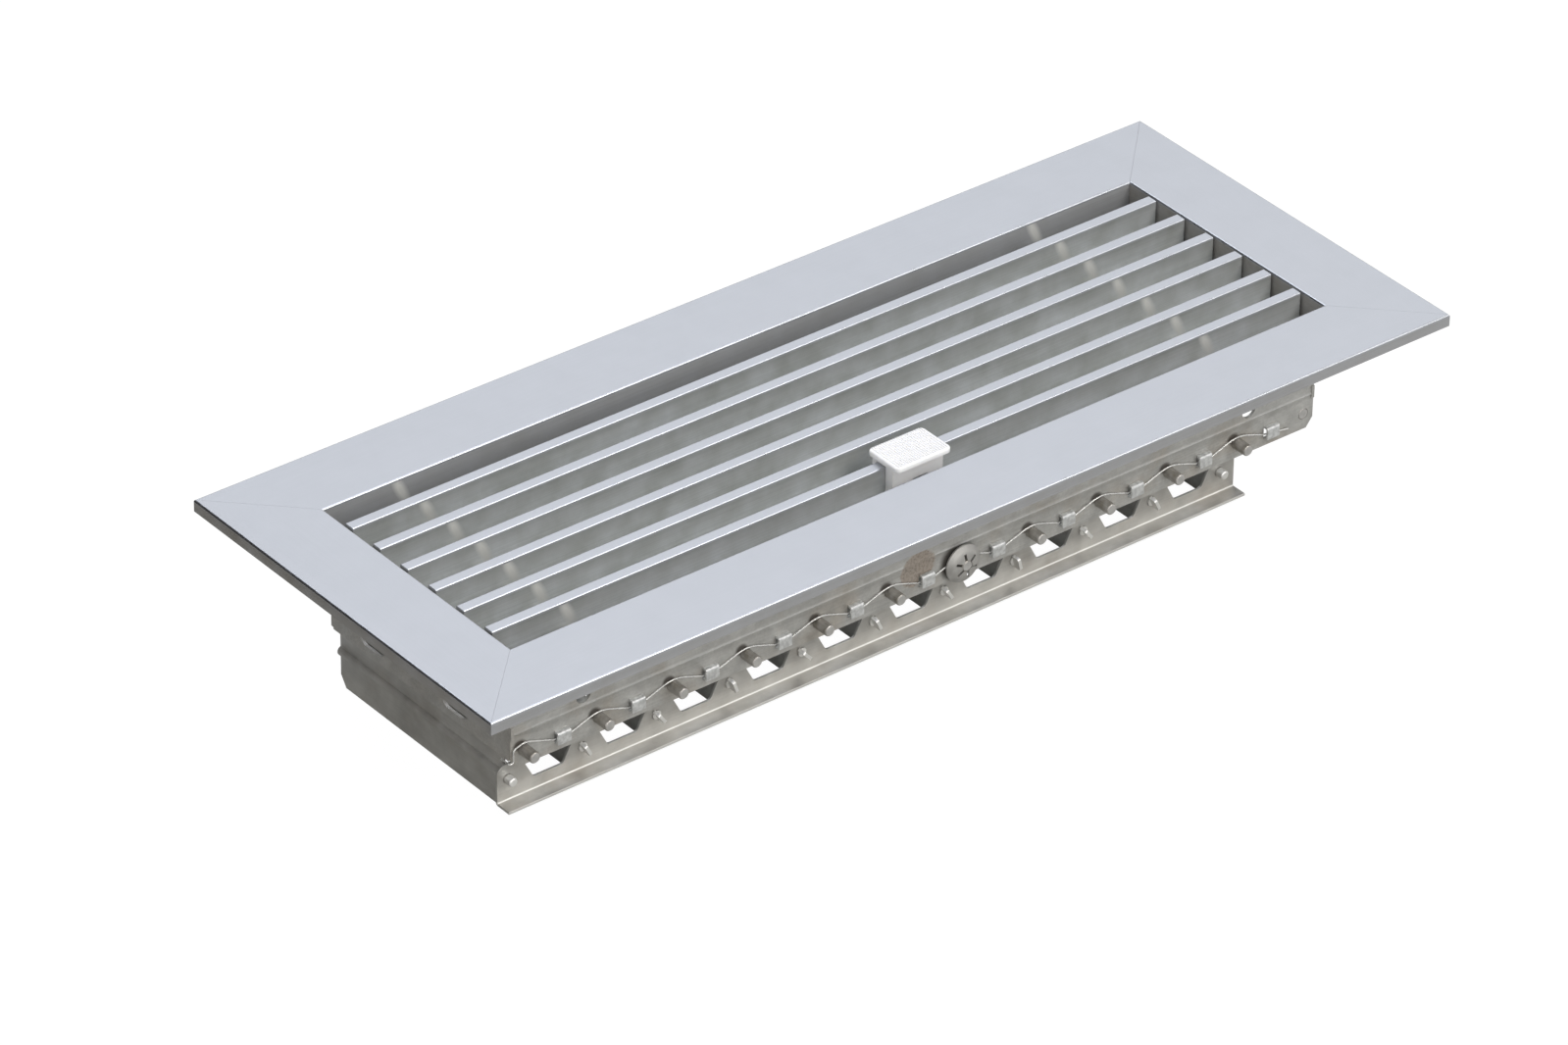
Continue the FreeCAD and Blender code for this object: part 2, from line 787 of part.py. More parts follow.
def link_bar():
    """Angle bar with a rounded lobe and a pin hole for each flap, cut away between them."""
    low = link_pin_z - link_below_pin
    top = link_pin_z + lobe_above_pin
    valley = link_pin_z - valley_below_pin
    out = link_outer_y - link_flange + link_sheet
    section = [
        (link_inner_y, top),
        (link_inner_y, low, link_bend_radius),
        (out, low),
        (out, low + link_sheet),
        (link_outer_y, low + link_sheet, link_bend_radius - link_sheet),
        (link_outer_y, top),
    ]
    centres = lobe_centres()
    left = centres[0] - lobe_end_half
    right = centres[-1] + lobe_end_half
    outline = [(right, low), (left, low), (left, top, lobe_end_round)]
    for a, b in zip(centres, centres[1:]):
        outline.append((a + lobe_top_half, top, lobe_round))
        outline.append((a + lobe_valley_half, valley, valley_round))
        outline.append((b - lobe_valley_half, valley, valley_round))
        outline.append((b - lobe_top_half, top, lobe_round))
    outline.append((right, top, lobe_end_round))
    bar = along_x(section, left, right).common(along_y(outline, out, link_inner_y))
    hole = link_pin_radius + link_pin_clearance
    for x in pivots:
        bar = bar.cut(round_y(hole, x + flap_plane, link_pin_z, link_outer_y, link_inner_y))
    return bar.removeSplitter()


# Knob

def knob_leg_planes():
    """Faces of the front leg: towards the frame, and towards the bar."""
    inner = front_bar_y - bar_thickness / 2 - knob_bar_gap
    return inner - knob_front_leg, inner


def knob():
    """Ribbed cap on a saddle over the bar, a long front leg with its fork, and a short back leg."""
    length, width, thickness = knob_cap
    top = face_z + knob_cap_top
    x0 = knob_place - length / 2
    x1 = knob_place + length / 2
    mid_y = front_bar_y + knob_cap_shift
    y0 = mid_y - width / 2
    y1 = mid_y + width / 2
    r = knob_corner_radius
    cap = along_z([(x0, y0, r), (x1, y0, r), (x1, y1, r), (x0, y1, r)], top - thickness, top)
    rim = [e for e in cap.Edges if abs(e.BoundBox.ZMin - top) < 1e-6]
    cap = cap.makeFillet(knob_edge_radius, rim)
    margin = knob_rib_field_margin
    pitch = (length - 2 * margin) / knob_rib_count
    grooves = []
    for k in range(knob_rib_count):
        a = x0 + margin + pitch * (k + 0.25)
        grooves.append(block(a, a + pitch / 2, y0 + margin, y1, top - knob_rib_depth, top))
    cap = cap.cut(grooves)

    front, back = knob_leg_planes()
    near = knob_place - knob_leg_width / 2
    far = knob_place + knob_leg_width / 2
    saddle_top = top - thickness
    bar_top = face_z + knob_bar_gap
    back_leg_y = front_bar_y + bar_thickness / 2 + knob_bar_gap
    inset = knob_saddle_inset
    neck = block(near + inset, far - inset, front + inset, y1 - inset, saddle_top - knob_groove, saddle_top)
    saddle = block(near, far, front, y1 - inset / 2, bar_top, saddle_top - knob_groove)
    back_leg = block(near, far, back_leg_y, back_leg_y + knob_back_leg, face_z - knob_back_drop, bar_top)

    under = face_z - bar_depth - knob_under_gap
    lip_low = under - knob_lip_thickness
    leg = block(near, far, front, back, lip_low, bar_top)
    lip = block(near, far, back, back + knob_lip_reach, lip_low, under)
    pin_low = pivot_z + crank_radius * math.cos(crank_rest)
    pin_high = pivot_z + crank_radius
    half_slot = crank_pin_radius + fork_pin_clearance
    foot_low = pin_low - foot_below_pin
    foot_end = crank_pin_x + half_slot + foot_past_slot
    foot = along_y([
        (near, lip_low),
        (near, lip_low - knob_foot_drop, 2 * foot_round),
        (crank_pin_x - half_slot - foot_past_slot, foot_low, foot_round),
        (foot_end, foot_low, foot_round),
        (foot_end, lip_low, foot_round),
    ], front, back)
    slot_top = pin_high + crank_pin_radius + fork_above_pin
    slot = along_y([
        (crank_pin_x - half_slot, foot_low),
        (crank_pin_x + half_slot, foot_low),
        (crank_pin_x + half_slot, slot_top, fork_slot_round),
        (crank_pin_x - half_slot, slot_top, fork_slot_round),
    ], front, back)
    wide, tall = knob_window
    window_x = knob_place + knob_window_shift
    window_top = face_z - knob_window_top
    window = block(window_x - wide / 2, window_x + wide / 2, front, back, window_top - tall, window_top)
    body = cap.fuse([neck, saddle, back_leg, leg, lip, foot])
    return body.cut([slot, window]).removeSplitter()


def build():
    """Every piece of the register, by its node's name."""
    pieces = {}
    holes = rivet_holes()
    for name, shape in frame_pieces().items():
        pieces[name] = shape.cut(holes)
    pieces.update(corner_keys())
    pieces.update(bars())
    pieces.update(cross_supports())
    for name, shape in {**damper_rails(), **end_plates()}.items():
        pieces[name] = shape.cut(holes)
    pieces["tie_rod"] = tie_rod()
    pieces["friction_wire"] = friction_wire()
    pieces["collar_rivets"] = collar_rivets()
    for k, (x, turn) in enumerate(zip(pivots, link_leaf_turns), 1):
        pieces["flap_%d" % k] = flap(x, turn)
        pieces["flap_rod_%d" % k] = rod(x, driven_rod_out if x == driven_x else rod_out)
    pieces["push_nut"] = push_nut()
    pieces["crank"] = crank()
    pieces["link_bar"] = link_bar()
    pieces["knob"] = knob()
    return pieces


def main():
    os.makedirs("parts", exist_ok=True)
    for name, shape in build().items():
        shape.exportStep("parts/%s.step" % name)
        solids = len(shape.Solids)
        print("%-24s solids %2d volume %9.1f valid %s" % (name, solids, shape.Volume, shape.isValid()))


main()
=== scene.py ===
import json
import math

import bmesh
import bpy
import numpy as np
from bpy.props import FloatProperty, FloatVectorProperty, PointerProperty
from mathutils import Matrix, Vector

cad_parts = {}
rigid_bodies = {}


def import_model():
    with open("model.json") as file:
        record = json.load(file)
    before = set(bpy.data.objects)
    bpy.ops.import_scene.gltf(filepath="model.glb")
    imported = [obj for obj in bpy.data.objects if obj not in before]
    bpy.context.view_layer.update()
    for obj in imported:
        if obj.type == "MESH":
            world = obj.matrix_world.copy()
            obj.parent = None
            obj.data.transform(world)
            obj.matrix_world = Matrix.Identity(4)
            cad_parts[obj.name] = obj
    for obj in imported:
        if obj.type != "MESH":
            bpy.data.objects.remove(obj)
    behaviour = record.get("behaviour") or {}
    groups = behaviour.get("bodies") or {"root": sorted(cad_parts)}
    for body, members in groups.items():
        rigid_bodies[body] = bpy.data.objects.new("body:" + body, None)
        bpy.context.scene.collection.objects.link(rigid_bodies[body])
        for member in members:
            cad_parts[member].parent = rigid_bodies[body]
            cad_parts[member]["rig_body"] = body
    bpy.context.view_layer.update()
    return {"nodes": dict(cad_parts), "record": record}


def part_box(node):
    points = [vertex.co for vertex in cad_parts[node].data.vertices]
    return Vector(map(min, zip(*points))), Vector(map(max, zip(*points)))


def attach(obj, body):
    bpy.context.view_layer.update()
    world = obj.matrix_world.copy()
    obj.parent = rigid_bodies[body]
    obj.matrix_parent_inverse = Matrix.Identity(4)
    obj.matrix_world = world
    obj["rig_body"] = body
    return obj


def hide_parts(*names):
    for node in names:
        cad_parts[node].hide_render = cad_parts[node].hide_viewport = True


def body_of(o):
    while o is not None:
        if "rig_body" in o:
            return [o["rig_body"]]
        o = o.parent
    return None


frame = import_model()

bl_info = {
    "name": "Floor register",
    "version": (1, 0, 0),
    "blender": (4, 5, 0),
    "location": "3D View > Sidebar > Register",
    "description": "Dresses a mitred aluminium floor register and its damper",
    "category": "Object",
}

MM = 0.001

# Places read from the frame, in metres
sides = [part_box(f"frame_{side}") for side in ("front", "right", "back", "left")]
frame_low = Vector(map(min, *(low for low, high in sides)))
frame_high = Vector(map(max, *(high for low, high in sides)))
face_z = frame_high.z
collar_z = frame_low.z
rail_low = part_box("damper_rail_near")[0]
flap_count = sum(name.startswith("flap_rod_") for name in frame["nodes"])
bar_count = sum(name.startswith("bar_") for name in frame["nodes"])
rods = [sum(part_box(f"flap_rod_{k}"), Vector()) / 2 for k in (1, 2)]
last_rod = sum(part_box(f"flap_rod_{flap_count}"), Vector()) / 2
slot_of = {part["node"]: part["material_slot"] for part in frame["record"]["subparts"]}

SUPPORTS = ("cross_support_left", "cross_support_right")


def hex_colour(text):
    """An sRGB hex colour as linear red, green and blue."""
    values = [int(text[i:i + 2], 16) / 255 for i in (1, 3, 5)]
    return tuple(v / 12.92 if v <= 0.04045 else ((v + 0.055) / 1.055) ** 2.4 for v in values)


def opaque(colour):
    """The colour with the alpha that a colour input wants."""
    return (*colour, 1.0)


# Sizes and colours

class RegisterSizes(bpy.types.PropertyGroup):
    """Sizes of the extrusions and of the marks on them"""
    face_thickness: FloatProperty(
        name="Face thickness", description="Wall of the frame's face", default=1.6 * MM, unit="LENGTH")
    lip_thickness: FloatProperty(
        name="Lip thickness", description="Wall of the lip round the face",
        default=1.6 * MM, unit="LENGTH")
    lip_height: FloatProperty(
        name="Lip height", description="Height of the lip round the face",
        default=3.8 * MM, unit="LENGTH")
    collar_thickness: FloatProperty(
        name="Collar thickness", description="Wall of the collar under the face",
        default=1.5 * MM, unit="LENGTH")
    face_edge_radius: FloatProperty(
        name="Face edge radius", description="Round on the face's long edges",
        default=0.6 * MM, unit="LENGTH")
    bar_edge_radius: FloatProperty(
        name="Bar edge radius", description="Round on the bars' long edges",
        default=0.4 * MM, unit="LENGTH")
    mitre_gap: FloatProperty(
        name="Mitre gap", description="Open joint between two mitred lengths",
        default=0.05 * MM, unit="LENGTH")
    key_slot: FloatVectorProperty(
        name="Key slot", description="Slot under the face: start, width, depth, wall and foot",
        size=5, default=(6.0 * MM, 12.1 * MM, 1.2 * MM, 1.0 * MM, 1.6 * MM))
    slot_above_lip: FloatProperty(
        name="Slot above lip", description="How far the slot's feet stop short of the lip",
        default=0.2 * MM, unit="LENGTH")
    broken_edge: FloatProperty(
        name="Broken edge", description="Width of the dulled edges of sheet pieces",
        default=0.12 * MM, unit="LENGTH")
    hook_proud: FloatProperty(
        name="Hook height", description="How far the hooks stand out from the near rail",
        default=1.8 * MM, unit="LENGTH")
    stain_place: FloatVectorProperty(
        name="Stain place", description="Middle of the brown stain on the near rail, as X and Z",
        size=2, default=(-2.3 * MM, 25.4 * MM))
    stain_length: FloatProperty(
        name="Stain length", description="Length of the brown stain on the near rail",
        default=12.5 * MM, unit="LENGTH")
    stain_height: FloatProperty(
        name="Stain height", description="Height of the brown stain on the near rail",
        default=10.5 * MM, unit="LENGTH")


class RegisterColours(bpy.types.PropertyGroup):
    """Colours of the finishes"""
    anodised: FloatVectorProperty(
        name="Anodised face", description="Satin anodised aluminium of the frame and the bars",
        size=3, subtype="COLOR", default=hex_colour("#B2B5BA"))
    galvanised: FloatVectorProperty(
        name="Galvanised sheet", description="Zinc-coated sheet of the damper box",
        size=3, subtype="COLOR", default=hex_colour("#C2C2BF"))
    mill: FloatVectorProperty(
        name="Mill aluminium", description="Rolled aluminium sheet of the flaps and the link bar",
        size=3, subtype="COLOR", default=hex_colour("#C2C1BD"))
    steel: FloatVectorProperty(
        name="Steel", description="Drawn steel of the rods",
        size=3, subtype="COLOR", default=hex_colour("#CBCAC8"))
    wire: FloatVectorProperty(
        name="Wire", description="Bright spring wire",
        size=3, subtype="COLOR", default=hex_colour("#E9E9E7"))
    nut: FloatVectorProperty(
        name="Push nut", description="Stamped spring steel of the push nut",
        size=3, subtype="COLOR", default=hex_colour("#B4B3B0"))
    knob: FloatVectorProperty(
        name="Knob", description="White moulded plastic of the knob",
        size=3, subtype="COLOR", default=hex_colour("#F8F8F8"))
    stain: FloatVectorProperty(
        name="Stain", description="Brown of the rough stain beside the push nut",
        size=3, subtype="COLOR", default=hex_colour("#968B80"))


class RegisterSettings(bpy.types.PropertyGroup):
    """All settings of the register"""
    sizes: PointerProperty(type=RegisterSizes)
    colours: PointerProperty(type=RegisterColours)


# Node and material helpers

def add(tree, kind, *values, **named):
    """Add a shader node and give back its first output.

    The values fill its open inputs in order: numbers, colours, vectors or other nodes' outputs. A
    name that starts with a capital is an input too, and every other name is a property of the node.
    """
    node = tree.nodes.new("ShaderNode" + kind)
    for name, value in named.items():
        if name[0].islower():
            setattr(node, name, value)
    given = list(zip([socket for socket in node.inputs if socket.enabled], values))
    given += [(node.inputs[name], value) for name, value in named.items() if name[0].isupper()]
    for socket, value in given:
        if isinstance(value, bpy.types.NodeSocket):
            tree.links.new(value, socket)
        else:
            socket.default_value = value
    return next(socket for socket in node.outputs if socket.enabled)


def feed(tree, node, outputs):
    """Link each output to the node's input of that name."""
    for name, output in outputs.items():
        tree.links.new(output, node.inputs[name])


def new_finish(name, colour, metallic, roughness):
    """An empty finish: its material, tree, shader and object coordinates."""
    material = bpy.data.materials.new(name)
    material.use_nodes = True
    tree = material.node_tree
    shader = tree.nodes["Principled BSDF"]
    shader.inputs["Base Color"].default_value = opaque(colour)
    shader.inputs["Metallic"].default_value = metallic
    shader.inputs["Roughness"].default_value = roughness
    place = add(tree, "TexCoord").node.outputs["Object"]
    return material, tree, shader, place


def grain(tree, place, size, detail=3.0):
    """Noise from 0 to 1 whose grains have this size in metres along X, Y and Z."""
    laid = add(tree, "Mapping", place, Scale=[1 / s for s in size])
    return add(tree, "TexNoise", laid, Scale=1.0, Detail=detail)


def patch(tree, place, centre, reach, turn=(0, 0, 0)):
    """1 at the centre, falling to 0 at these distances along X, Y and Z, turned by these angles.

    Along an axis with a reach of a metre or more, the patch runs on over the whole part.
    """
    laid = add(tree, "Mapping", place, centre, turn, reach, vector_type="TEXTURE")
    return add(tree, "TexGradient", laid, gradient_type="SPHERICAL").node.outputs["Fac"]


def recurring(tree, place, start, pitch):
    """The place with X counted from the nearest of the stations that start here, this far apart."""
    parts = add(tree, "SeparateXYZ", place).node.outputs
    along = add(tree, "Math", parts["X"], start, operation="SUBTRACT")
    along = add(tree, "Math", along, pitch / 2, -pitch / 2, operation="WRAP")
    return add(tree, "CombineXYZ", along, parts["Y"], parts["Z"])


def facing(tree, axis, way):
    """1 where the surface faces along the axis, way 1 or -1, and 0 where it turns away from that."""
    normal = add(tree, "TexCoord").node.outputs["Normal"]
    part = add(tree, "SeparateXYZ", normal).node.outputs[axis]
    part = add(tree, "Math", part, way, operation="MULTIPLY")
    return add(tree, "MapRange", part, 0.7, 0.95, 0, 1)


def layered(tree, tone, *layers):
    """The tone times each layer: its marks, the range they are in and the range they are moved to."""
    for layer in layers:
        tone = add(tree, "Math", tone, add(tree, "MapRange", *layer), operation="MULTIPLY")
    return tone


def dress(names, material):
    """Give each CAD node this material."""
    for name in names:
        for slot in frame["nodes"][name].material_slots:
            slot.material = material


def numbered(stem, count):
    """The names that end in _1 to _count."""
    return [f"{stem}_{k}" for k in range(1, count + 1)]


# Meshes

ARC_STEPS = 7
SMOOTH_ANGLE = math.radians(32)
FLAT_ANGLE = math.radians(1)
MERGE_DISTANCE = 0.002 * MM


def rounded(corners):
    """An outline through corners (u, v, radius), each radius drawn as an arc, and which sides are arcs.

    The arc's centre lies on the corner's bisector, one radius from both sides, and its points
    turn evenly from the first touching point to the second.
    """
    points = np.array([corner[:2] for corner in corners])
    outline = []
    arcs = []
    for i, corner in enumerate(corners):
        radius = corner[2] if len(corner) > 2 else 0.0
        if radius == 0.0:
            outline.append(points[i][None])
            arcs.append([0])
            continue
        back = points[i - 1] - points[i]
        on = points[(i + 1) % len(points)] - points[i]
        back = back / np.linalg.norm(back)
        on = on / np.linalg.norm(on)
        half = math.acos(np.clip(back @ on, -1, 1)) / 2
        middle = back + on
        centre = points[i] + middle / np.linalg.norm(middle) * radius / math.sin(half)
        start = points[i] + back * radius / math.tan(half) - centre
        end = points[i] + on * radius / math.tan(half) - centre
        whole = math.pi - 2 * half
        turn = np.linspace(0, whole, ARC_STEPS + 1)[:, None]
        outline.append(centre + (start * np.sin(whole - turn) + end * np.sin(turn)) / math.sin(whole))
        arcs.append([1] * ARC_STEPS + [0])
    return np.concatenate(outline), np.concatenate(arcs)


def swept(name, rings, arcs):
    """A closed solid through rings of points: quads between neighbouring rings and a cap at each end.

    The quads of the ring's arcs take the second material, the rest the first.
    """
    count, around = rings.shape[:2]
    i = np.arange(count - 1)[:, None] * around
    j = np.arange(around)[None]
    k = (j + 1) % around
    quads = np.stack([i + j, i + k, i + around + k, i + around + j], -1).reshape(-1, 4)
    first = list(range(around))[::-1]
    last = list(range((count - 1) * around, count * around))
    mesh = bpy.data.meshes.new(name)
    mesh.from_pydata(rings.reshape(-1, 3).tolist(), [], [*quads.tolist(), first, last])
    second = np.zeros(len(mesh.polygons), np.int32)
    second[:len(quads)] = np.tile(arcs, count - 1)
    mesh.polygons.foreach_set("material_index", second)
    return mesh


def placed(name, mesh, body, slot, *materials):
    """A finished piece on its body, smooth apart from its sharp edges."""
    for material in materials:
        mesh.materials.append(material)
    mesh.shade_smooth()
    mesh.set_sharp_from_angle(angle=SMOOTH_ANGLE)
    piece = bpy.data.objects.new(name, mesh)
    bpy.context.collection.objects.link(piece)
    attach(piece, body)
    return piece


def evenly_shaded(piece):
    """Let the large faces hold their own normals, so that only the rounds shade as round."""
    weighted = piece.modifiers.new("even normals", "WEIGHTED_NORMAL")
    weighted.keep_sharp = True


def eased(node_name, width, material):
    """Stand in for a CAD node with a copy whose edges are broken, as tumbled or handled metal's are.

    The copy's loose triangles are merged and its flat faces joined before the bevel.
    """
    node = frame["nodes"][node_name]
    shell = bmesh.new()
    shell.from_mesh(node.data)
    bmesh.ops.remove_doubles(shell, verts=shell.verts, dist=MERGE_DISTANCE)
    bmesh.ops.dissolve_limit(
        shell, angle_limit=FLAT_ANGLE, use_dissolve_boundaries=False,
        verts=shell.verts, edges=shell.edges, delimit={"NORMAL"})
    name = node_name + "_eased"
    mesh = bpy.data.meshes.new(name)
    shell.to_mesh(mesh)
    shell.free()
    piece = placed(name, mesh, body_of(node)[0], slot_of[node_name], material)
    bevel = piece.modifiers.new("broken edges", "BEVEL")
    bevel.width = width
    bevel.segments = 2
    bevel.limit_method = "ANGLE"
    bevel.angle_limit = SMOOTH_ANGLE
    bevel.harden_normals = True
    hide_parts(node_name)


# Finishes

# A MapRange node takes a value, the range it is in and the range it is moved to.
LINK_SHEET = 0.8 * MM
ZINC_CAST = "#B0A698"


def bright_drawn_round(name, colour):
    """The extrusion's rounds, drawn smooth by the die: they catch a lamp as a thin bright line."""
    material, tree, shader, place = new_finish(name, colour, 1.0, 0.3)
    nicks = grain(tree, place, [3 * MM] * 3, 4.0)
    feed(tree, shader, {"Roughness": add(tree, "MapRange", nicks, 0.35, 0.65, 0.26, 0.36)})
    return material


def satin_anodised_aluminium(name, colour, along, painted_wall_shading, wear, film="#A29C90"):
    """Etched and clear anodised extrusion, drawn along the X or Y axis, 0 or 1.

    The top is an even satin. The walls below it show the die's draw lines, clouds in the film's
    colour and a painted reflection of each cross support as a pale smear. Their tone is painted
    shading: it runs from the first value under the top edge to the second one lower down, and the
    front lip's outer face is painted darker. Wear, from 0 to 1, is how strongly the clouds show.
    """
    material, tree, shader, place = new_finish(name, colour, 0.45, 0.5)
    line = [0.3 * MM] * 3
    line[along] = 90 * MM
    lines = grain(tree, place, line, 2.0)
    cloud = grain(tree, place, [9 * MM] * 3, 4.0)
    parts = add(tree, "SeparateXYZ", place).node.outputs
    inside = add(tree, "MapRange", parts["Y"], frame_low.y + 1 * MM, frame_low.y + 3 * MM, 0, 1)
    wall = add(tree, "MapRange", parts["Z"], face_z - 0.9 * MM, face_z - 0.5 * MM, 1, 0)

    # Painted shading: the wall tone runs from the first value under the top edge to the second lower
    # down, and the front lip's outer face is painted 12 percent darker.
    wall_tone_with_painted_shade = add(tree, "MapRange", parts["Z"], face_z - 0.8 * MM, face_z - 7 * MM, *painted_wall_shading)
    wall_tone_with_painted_shade = layered(
        tree, wall_tone_with_painted_shade,
        (inside, 0, 1, 0.88, 1.0),
        (cloud, 0.3, 0.7, 1 - 0.12 * wear, 1 + 0.08 * wear),
        (lines, 0.3, 0.7, 0.93, 1.05))
    top_tone = add(tree, "MapRange", cloud, 0.3, 0.7, 0.985, 1.012)
    tone = add(tree, "MapRange", wall, 0, 1, top_tone, wall_tone_with_painted_shade)

    cast = add(tree, "MapRange", cloud, 0.3, 0.7, 0.9 * wear, 0.5 * wear)
    cast = add(tree, "Math", wall, cast, operation="MULTIPLY")
    base = add(tree, "Mix", cast, opaque(colour), opaque(hex_colour(film)), data_type="RGBA")
    base = add(tree, "VectorMath", base, tone, operation="SCALE")
    # Painted reflection: the -Y walls inside the lip are made pale in front of each cross support.
    painted_reflection = wall
    for factor in (inside, facing(tree, "Y", -1), painted_support_reflections(tree, place)):
        painted_reflection = add(tree, "Math", painted_reflection, factor, operation="MULTIPLY")
    base = add(tree, "Mix", painted_reflection, base, opaque(hex_colour("#E6E6E2")), data_type="RGBA")
    feed(tree, shader, {
        "Base Color": base,
        "Roughness": add(tree, "MapRange", lines, 0.3, 0.7, 0.47, 0.54),
        "Normal": add(tree, "Bump", Height=lines, Distance=0.004 * MM),
    })
    return material


def painted_support_reflections(tree, place):
    """Painted reflections of the two cross supports: pale smears on the walls in front of them, leaning
    as the photo shows them.
    """
    reflections = []
    for node in SUPPORTS:
        low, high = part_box(node)
        centre = ((low.x + high.x) / 2, 0, face_z - 4 * MM)
        reflections.append(patch(tree, place, centre, (2.3 * MM, 1.0, 7.5 * MM), (0, math.radians(-27), 0)))
    both = add(tree, "Math", *reflections, operation="MAXIMUM")
    return add(tree, "MapRange", both, 0.05, 0.7, 0.0, 0.95)


def zinc_clouds(tree, place):
    """Tone of zinc-coated sheet: soft clouds, fine dull spots and faint rolling lines along X."""
    lines = grain(tree, place, (40 * MM, 0.35 * MM, 0.35 * MM), 2.0)
    cloud = grain(tree, place, [4.5 * MM] * 3, 4.0)
    spots = grain(tree, place, [0.8 * MM] * 3, 3.0)
    tone = add(tree, "MapRange", cloud, 0.3, 0.7, 0.89, 1.07)
    tone = layered(tree, tone, (lines, 0.3, 0.7, 0.92, 1.05), (spots, 0.35, 0.65, 0.94, 1.04))
    return tone, cloud, lines


def galvanised_sheet(name, colour):
    """Zinc-coated steel: neutral grey, clouded and dulled, with a brownish cast here and there."""
    material, tree, shader, place = new_finish(name, colour, 0.55, 0.45)
    tone, cloud, lines = zinc_clouds(tree, place)
    cast = add(tree, "MapRange", grain(tree, place, [12 * MM] * 3, 3.0), 0.4, 0.7, 0.1, 0.35)
    base = add(tree, "Mix", cast, opaque(colour), opaque(hex_colour(ZINC_CAST)), data_type="RGBA")
    feed(tree, shader, {
        "Base Color": add(tree, "VectorMath", base, tone, operation="SCALE"),
        "Roughness": add(tree, "MapRange", cloud, 0.3, 0.7, 0.38, 0.52),
        "Normal": add(tree, "Bump", Height=lines, Distance=0.008 * MM),
    })
    return material


def rail_painted_shadows(tree, place, face_y):
    """Painted shadows on the near rail's face: dark up and left of each rod's root, where the wire and
    rod shade it, and round the push nut's left edge, where the nut shades it.
    """
    across = add(tree, "SeparateXYZ", place).node.outputs["X"]
    roots = recurring(tree, place, rods[0].x, rods[1].x - rods[0].x)
    centre = (-1.4 * MM, face_y, rods[0].z + 1.8 * MM)
    root = patch(tree, roots, centre, (2.9 * MM, 0.8 * MM, 2.5 * MM))
    root = add(tree, "MapRange", root, 0.15, 0.5, 0.0, 0.85)
    up_to_last = add(tree, "MapRange", across, last_rod.x + 5 * MM, last_rod.x + 8 * MM, 1, 0)
    root = add(tree, "Math", root, up_to_last, operation="MULTIPLY")

    nut = sum(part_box("push_nut"), Vector()) / 2
    centre = (nut.x - 2.4 * MM, face_y, nut.z + 0.8 * MM)
    ring = patch(tree, place, centre, (5.9 * MM, 0.8 * MM, 6.6 * MM))
    ring = add(tree, "MapRange", ring, 0.05, 0.35, 0.0, 0.8)
    return add(tree, "Math", root, ring, operation="MAXIMUM")


def rail_stain(tree, place, face_y, sizes):
    """Where the stain lies on the near rail's face: a leaning ellipse with a ragged edge."""
    spots = add(tree, "Math", grain(tree, place, [1.3 * MM] * 3, 4.0), 0.3, operation="MULTIPLY")
    centre = (sizes.stain_place[0], face_y, sizes.stain_place[1])
    reach = (0.62 * sizes.stain_length, 0.8 * MM, 0.62 * sizes.stain_height)
    spread = patch(tree, place, centre, reach, (0, math.radians(-20), 0))
    ragged = add(tree, "Math", spots, spread, operation="ADD")
    return add(tree, "MapRange", ragged, 0.29, 0.38, 0.0, 0.85)


def stained_rail(name, sizes, colours):
    """The near rail's zinc-coated steel, with painted light on the hooks over random rubs, painted
    shadows and a rough brown stain.
    """
    material, tree, shader, place = new_finish(name, colours.galvanised, 0.55, 0.45)
    tone, cloud, lines = zinc_clouds(tree, place)
    cast = add(tree, "MapRange", grain(tree, place, [12 * MM] * 3, 3.0), 0.5, 0.7, 0.0, 0.5)
    base = add(
        tree, "Mix", cast, opaque(colours.galvanised), opaque(hex_colour(ZINC_CAST)), data_type="RGBA")
    base = add(tree, "VectorMath", base, tone, operation="SCALE")

    face_y = rail_low.y + sizes.hook_proud
    outward = add(tree, "SeparateXYZ", place).node.outputs["Y"]
    # Painted light: the hooks are made a near white, broken by random rubs.
    hook = add(tree, "MapRange", outward, face_y - 0.6 * MM, face_y, 1, 0)
    rubs = add(tree, "MapRange", grain(tree, place, [1.1 * MM] * 3, 3.0), 0.35, 0.65, 0.78, 1.08)
    hook_light_and_rubs = add(tree, "VectorMath", hex_colour("#DADCDC"), rubs, operation="SCALE")
    base = add(tree, "Mix", hook, base, hook_light_and_rubs, data_type="RGBA")

    # Painted shadows at the rods' roots and round the push nut.
    painted_shadow = rail_painted_shadows(tree, place, face_y)
    base = add(tree, "Mix", painted_shadow, base, opaque(hex_colour("#463F38")), data_type="RGBA")

    stain = rail_stain(tree, place, face_y, sizes)
    crumbs = grain(tree, place, [0.7 * MM] * 3, 2.0)
    flecks = add(tree, "MapRange", crumbs, 0.3, 0.55, 0.6, 1.15)
    brown = add(tree, "VectorMath", colours.stain, flecks, operation="SCALE")
    rough = add(tree, "MapRange", cloud, 0.3, 0.7, 0.38, 0.52)
    faint = add(tree, "Math", lines, 0.1, operation="MULTIPLY")
    relief = add(tree, "MapRange", stain, 0, 1, faint, crumbs)
    feed(tree, shader, {
        "Base Color": add(tree, "Mix", stain, base, brown, data_type="RGBA"),
        "Metallic": add(tree, "MapRange", stain, 0, 1, 0.55, 0.05),
        "Roughness": add(tree, "MapRange", stain, 0, 1, rough, 0.8),
        "Normal": add(tree, "Bump", Height=relief, Distance=0.08 * MM),
    })
    return material


